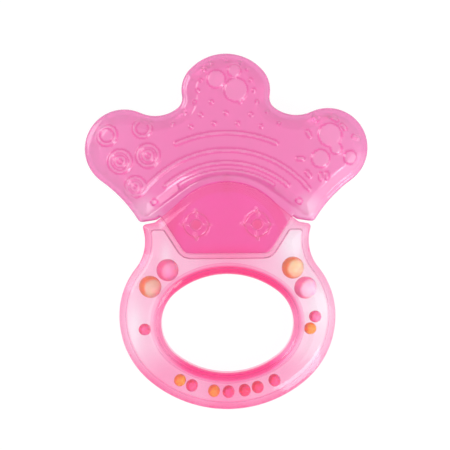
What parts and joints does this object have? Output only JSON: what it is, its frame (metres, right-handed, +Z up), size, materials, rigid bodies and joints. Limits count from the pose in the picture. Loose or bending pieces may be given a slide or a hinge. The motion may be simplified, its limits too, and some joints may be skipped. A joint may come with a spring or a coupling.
{
  "type": "water-filled rattle teether",
  "caption": "Flat baby teether: a water-filled chewing pad with lobes and raised texture on a clear rattle handle with an oval grip opening and loose beads inside.",
  "frame": {"origin": "middle of the bounding box, on the surface that the toy lies on", "axes": "+Z up through the thickness, +Y from the grip towards the chewing lobes, +X to the right"},
  "size_m": [0.0944, 0.1186, 0.0124],
  "materials": {
    "handle_clear_pink": "clear pink rigid plastic, polished",
    "teether_magenta": "translucent magenta soft plastic, satin",
    "water": "clear liquid",
    "plug_pink": "soft plastic, satin",
    "large_bead_pink": "opaque glossy",
    "large_bead_cream": "opaque glossy",
    "small_bead_orange": "opaque glossy",
    "small_bead_pink": "opaque glossy",
    "small_bead_red": "opaque glossy"
  },
  "bodies": {
    "teether": {"handle_back_shell": "handle_clear_pink", "handle_front_shell": "handle_clear_pink", "teether_back_skin": "teether_magenta", "teether_front_skin": "teether_magenta", "water_fill": "water", "fill_plug": "plug_pink"},
    "small_bead_orange_1": {"small_bead_orange_1": "small_bead_orange"},
    "small_bead_pink_1": {"small_bead_pink_1": "small_bead_pink"},
    "small_bead_orange_2": {"small_bead_orange_2": "small_bead_orange"},
    "small_bead_pink_2": {"small_bead_pink_2": "small_bead_pink"},
    "small_bead_red_1": {"small_bead_red_1": "small_bead_red"},
    "small_bead_red_2": {"small_bead_red_2": "small_bead_red"},
    "small_bead_pink_3": {"small_bead_pink_3": "small_bead_pink"},
    "small_bead_pink_4": {"small_bead_pink_4": "small_bead_pink"},
    "small_bead_orange_3": {"small_bead_orange_3": "small_bead_orange"},
    "small_bead_pink_5": {"small_bead_pink_5": "small_bead_pink"},
    "large_bead_pink_1": {"large_bead_pink_1": "large_bead_pink"},
    "large_bead_cream_1": {"large_bead_cream_1": "large_bead_cream"},
    "large_bead_cream_2": {"large_bead_cream_2": "large_bead_cream"},
    "large_bead_pink_2": {"large_bead_pink_2": "large_bead_pink"}
  },
  "joints": [
    {"name": "small_bead_pink_2_roll", "type": "hinge", "parent": "teether", "child": "small_bead_pink_2", "pos_m": [0, -0.0194, 0.0062], "axis": [0, 0, 1], "range_deg": [-18, 18]},
    {"name": "small_bead_orange_1_roll", "type": "hinge", "parent": "teether", "child": "small_bead_orange_1", "pos_m": [0, -0.0194, 0.0062], "axis": [0, 0, 1], "range_deg": [-18, 18]},
    {"name": "small_bead_pink_1_roll", "type": "hinge", "parent": "teether", "child": "small_bead_pink_1", "pos_m": [0, -0.0194, 0.0062], "axis": [0, 0, 1], "range_deg": [-18, 18]},
    {"name": "small_bead_orange_2_roll", "type": "hinge", "parent": "teether", "child": "small_bead_orange_2", "pos_m": [0, -0.0194, 0.0062], "axis": [0, 0, 1], "range_deg": [-18, 18]},
    {"name": "small_bead_red_1_roll", "type": "hinge", "parent": "teether", "child": "small_bead_red_1", "pos_m": [0, -0.0194, 0.0062], "axis": [0, 0, 1], "range_deg": [-18, 18]},
    {"name": "small_bead_red_2_roll", "type": "hinge", "parent": "teether", "child": "small_bead_red_2", "pos_m": [0, -0.0194, 0.0062], "axis": [0, 0, 1], "range_deg": [-18, 18]},
    {"name": "small_bead_pink_3_roll", "type": "hinge", "parent": "teether", "child": "small_bead_pink_3", "pos_m": [0, -0.0194, 0.0062], "axis": [0, 0, 1], "range_deg": [-18, 18]},
    {"name": "small_bead_orange_3_roll", "type": "hinge", "parent": "teether", "child": "small_bead_orange_3", "pos_m": [0.0085, -0.03078, 0.0062], "axis": [0, 0, 1], "range_deg": [-20, 6]},
    {"name": "small_bead_pink_5_roll", "type": "hinge", "parent": "teether", "child": "small_bead_pink_5", "pos_m": [0.0085, -0.03078, 0.0062], "axis": [0, 0, 1], "range_deg": [-20, 6]},
    {"name": "small_bead_pink_4_roll", "type": "hinge", "parent": "teether", "child": "small_bead_pink_4", "pos_m": [-0.0085, -0.03078, 0.0062], "axis": [0, 0, 1], "range_deg": [-8, 20]},
    {"name": "large_bead_cream_1_roll", "type": "hinge", "parent": "teether", "child": "large_bead_cream_1", "pos_m": [-0.0085, -0.03078, 0.0062], "axis": [0, 0, 1], "range_deg": [-5, 17]},
    {"name": "large_bead_pink_1_roll", "type": "hinge", "parent": "teether", "child": "large_bead_pink_1", "pos_m": [-0.0085, -0.03078, 0.0062], "axis": [0, 0, 1], "range_deg": [-5, 17]},
    {"name": "large_bead_pink_2_roll", "type": "hinge", "parent": "teether", "child": "large_bead_pink_2", "pos_m": [0.0085, -0.03078, 0.0062], "axis": [0, 0, 1], "range_deg": [-7, 8]},
    {"name": "large_bead_cream_2_roll", "type": "hinge", "parent": "teether", "child": "large_bead_cream_2", "pos_m": [0.0085, -0.03078, 0.0062], "axis": [0, 0, 1], "range_deg": [-7, 8]}
  ],
  "couplings": [
    {"joint": "small_bead_orange_1_roll", "follows": "small_bead_pink_2_roll", "ratio": 1},
    {"joint": "small_bead_pink_1_roll", "follows": "small_bead_pink_2_roll", "ratio": 1},
    {"joint": "small_bead_orange_2_roll", "follows": "small_bead_pink_2_roll", "ratio": 1},
    {"joint": "small_bead_red_1_roll", "follows": "small_bead_pink_2_roll", "ratio": 1},
    {"joint": "small_bead_red_2_roll", "follows": "small_bead_pink_2_roll", "ratio": 1},
    {"joint": "small_bead_pink_3_roll", "follows": "small_bead_pink_2_roll", "ratio": 1},
    {"joint": "small_bead_pink_5_roll", "follows": "small_bead_orange_3_roll", "ratio": 1},
    {"joint": "large_bead_pink_1_roll", "follows": "large_bead_cream_1_roll", "ratio": 1},
    {"joint": "large_bead_cream_2_roll", "follows": "large_bead_pink_2_roll", "ratio": 1}
  ]
}
